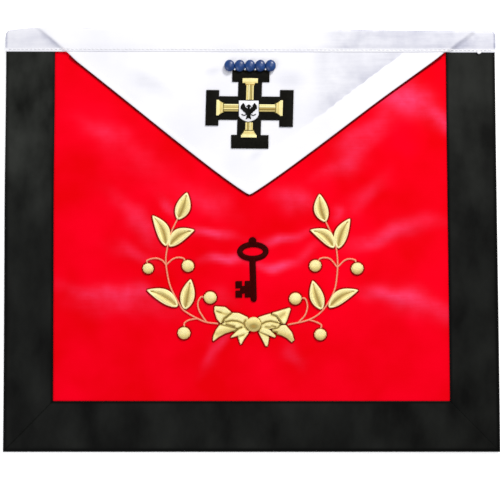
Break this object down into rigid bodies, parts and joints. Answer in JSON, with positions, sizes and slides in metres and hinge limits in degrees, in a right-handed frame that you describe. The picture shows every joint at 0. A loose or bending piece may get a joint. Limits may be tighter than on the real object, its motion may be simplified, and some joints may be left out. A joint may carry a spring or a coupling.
{
  "type": "masonic apron",
  "caption": "Flat ceremonial apron: red satin field with a folded black ribbon border, white waistband and pointed flap, padded gold wreath with bow, black key, and a black and gold cross.",
  "frame": {"origin": "middle of the apron's footprint on the surface that it lies on, under its back", "axes": "+X to the right of the face, +Y towards the waistband, +Z out of the face"},
  "size_m": [0.4012, 0.3452, 0.0115],
  "materials": {
    "red_satin": "smooth satin cloth with a soft sheen",
    "black_ribbon": "matte black ribbon with a fine cross rib",
    "white_satin": "smooth white satin cloth",
    "white_thread": "white satin stitch",
    "black_thread": "black satin stitch",
    "gold_thread": "pale gold bullion coils over padding",
    "stem_cord": "thin twisted rose gold cord",
    "blue_glass": "polished blue glass, opaque",
    "silver_glass": "silver lined seed beads"
  },
  "bodies": {
    "root": {"apron_panel": "red_satin", "border_left": "black_ribbon", "border_right": "black_ribbon", "border_bottom": "black_ribbon", "flap": "white_satin", "waistband": "white_satin", "cross_potent": "black_thread", "cross_gold_up": "gold_thread", "cross_gold_down": "gold_thread", "cross_gold_left": "gold_thread", "cross_gold_right": "gold_thread", "cross_shield": "white_thread", "shield_bird": "black_thread", "bead_1": "blue_glass", "bead_2": "blue_glass", "bead_3": "blue_glass", "bead_4": "blue_glass", "bead_5": "blue_glass", "stem_left": "stem_cord", "stem_right": "stem_cord", "leaf_left_1": "gold_thread", "leaf_left_2": "gold_thread", "leaf_left_3": "gold_thread", "leaf_left_4": "gold_thread", "leaf_left_5": "gold_thread", "leaf_right_1": "gold_thread", "leaf_right_2": "gold_thread", "leaf_right_3": "gold_thread", "leaf_right_4": "gold_thread", "leaf_right_5": "gold_thread", "berry_left_1": "gold_thread", "berry_left_2": "gold_thread", "berry_left_3": "gold_thread", "berry_left_4": "gold_thread", "berry_right_1": "gold_thread", "berry_right_2": "gold_thread", "berry_right_3": "gold_thread", "berry_right_4": "gold_thread", "bow_knot": "gold_thread", "bow_loop_left": "gold_thread", "bow_loop_right": "gold_thread", "bow_fold_left": "gold_thread", "bow_fold_right": "gold_thread", "bow_streamer_left": "gold_thread", "bow_streamer_right": "gold_thread", "bow_band_left": "gold_thread", "bow_band_right": "gold_thread", "bow_tail_left": "gold_thread", "bow_tail_right": "gold_thread", "bow_streamer_middle": "gold_thread", "bow_streamer_end": "gold_thread", "key": "black_thread"}
  },
  "joints": []
}
